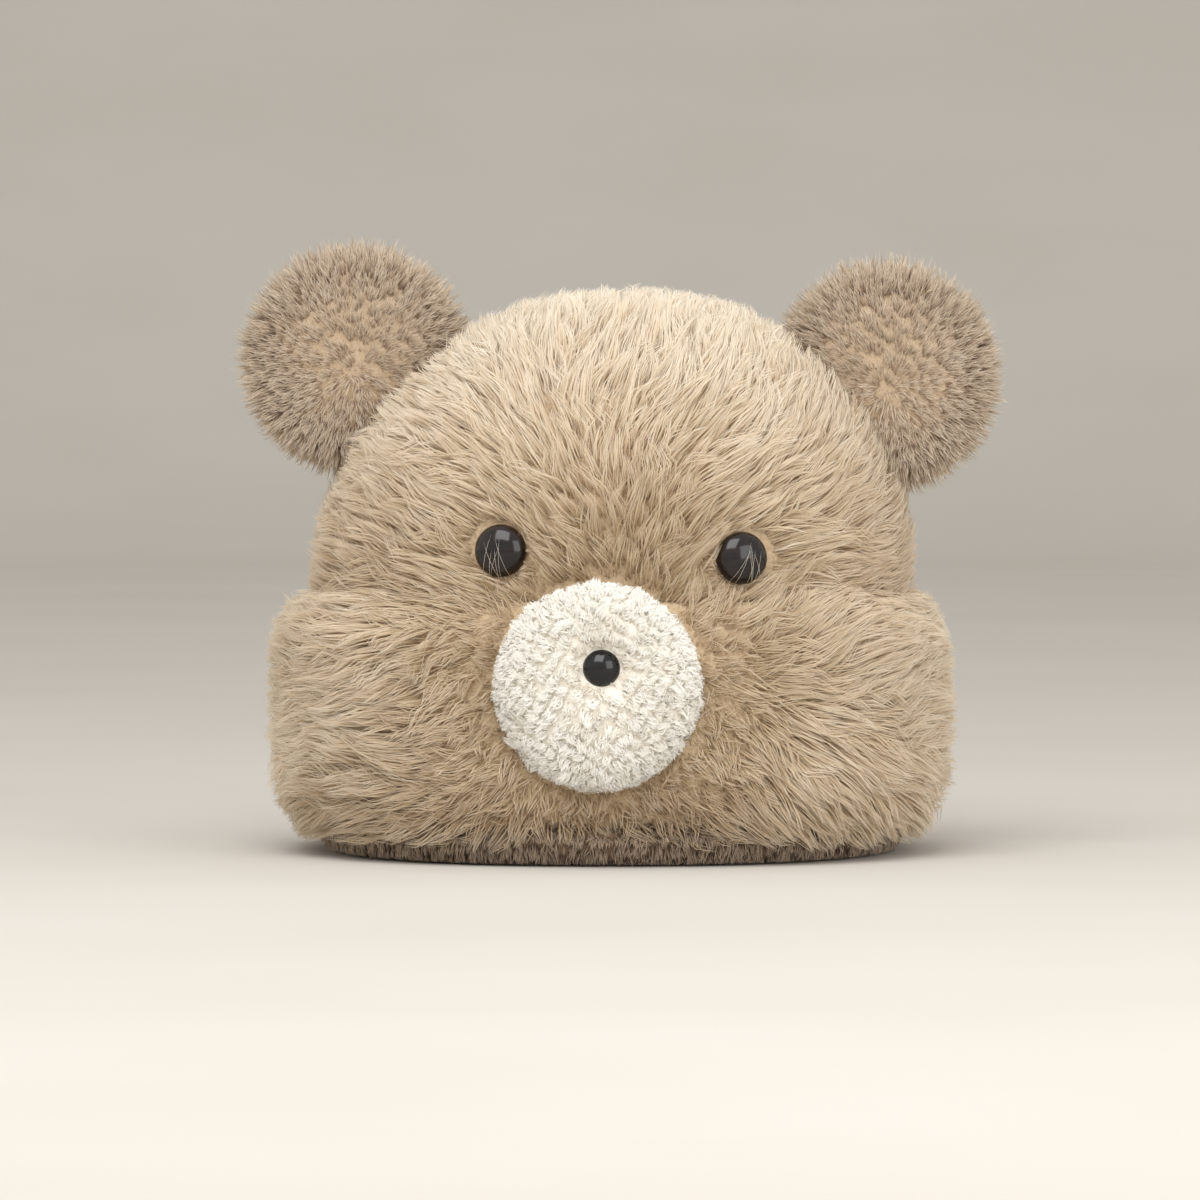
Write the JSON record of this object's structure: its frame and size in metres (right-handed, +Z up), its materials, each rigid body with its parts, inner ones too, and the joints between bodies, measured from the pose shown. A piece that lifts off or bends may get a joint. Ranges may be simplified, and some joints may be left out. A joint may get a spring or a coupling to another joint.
{
  "type": "bear ear plush hat",
  "caption": "Soft plush winter hat with a hollow round crown, turned up cuff, rolled rim, two round bear ears, button eyes and a padded fleece muzzle with a button nose.",
  "frame": {"origin": "on the surface that the rim rests on, under the centre of the bounding box", "axes": "+Z up, the face looks along -Y, +X is towards the right ear as the face is seen from the front"},
  "size_m": [0.2674, 0.2256, 0.2149],
  "materials": {
    "ground_cloth": "knitted ground cloth behind the pile, matt",
    "long_pile": "long silky beige plush pile, soft sheen",
    "rim_pile": "short brown beige pile, matt",
    "short_pile": "short fine beige pile, matt",
    "cream_fleece": "curly cream fleece, matt",
    "eye_button": "polished dark brown acrylic",
    "nose_button": "polished black acrylic"
  },
  "bodies": {
    "root": {"crown_side": "ground_cloth", "crown_top": "ground_cloth", "crown_fur": "long_pile", "cuff": "ground_cloth", "cuff_fur": "long_pile", "rim_band": "rim_pile", "ear_left": "short_pile", "ear_right": "short_pile", "muzzle": "cream_fleece", "eye_left": "eye_button", "eye_right": "eye_button", "nose": "nose_button"}
  },
  "joints": []
}
